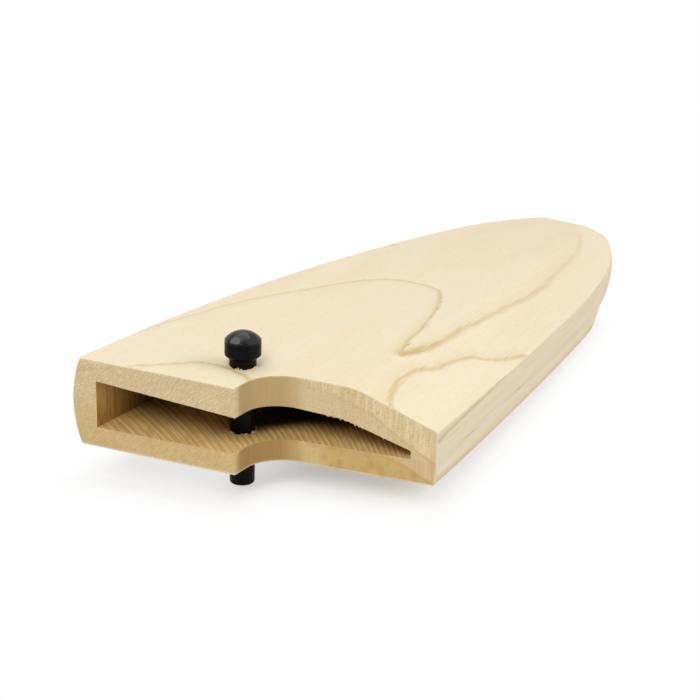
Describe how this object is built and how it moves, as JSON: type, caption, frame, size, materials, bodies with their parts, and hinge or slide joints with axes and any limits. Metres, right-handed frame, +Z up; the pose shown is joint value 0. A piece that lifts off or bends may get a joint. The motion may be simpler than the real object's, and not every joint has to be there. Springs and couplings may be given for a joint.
{
  "type": "knife blade guard",
  "caption": "Wooden sheath for a thick-spined kitchen knife, glued from two boards, with a scoop at the mouth and a tapered pin that keeps the knife in.",
  "frame": {"origin": "under the middle of the sheath, level with the end of the pin's tail", "axes": "+X from the mouth to the tip, +Y towards the knife's spine, +Z up, out through the pin's head"},
  "size_m": [0.182, 0.0704, 0.0308],
  "materials": {
    "wood": "bare planed softwood-like hardwood, satin, with faint growth rings",
    "black_pin": "polished black"
  },
  "bodies": {
    "sheath": {"upper_half": "wood", "lower_half": "wood"},
    "pin": {"retaining_pin": "black_pin"}
  },
  "joints": [
    {"name": "pin_pull", "type": "slide", "parent": "sheath", "child": "pin", "axis": [0, 0, 1], "range_m": [0, 0.026]}
  ]
}
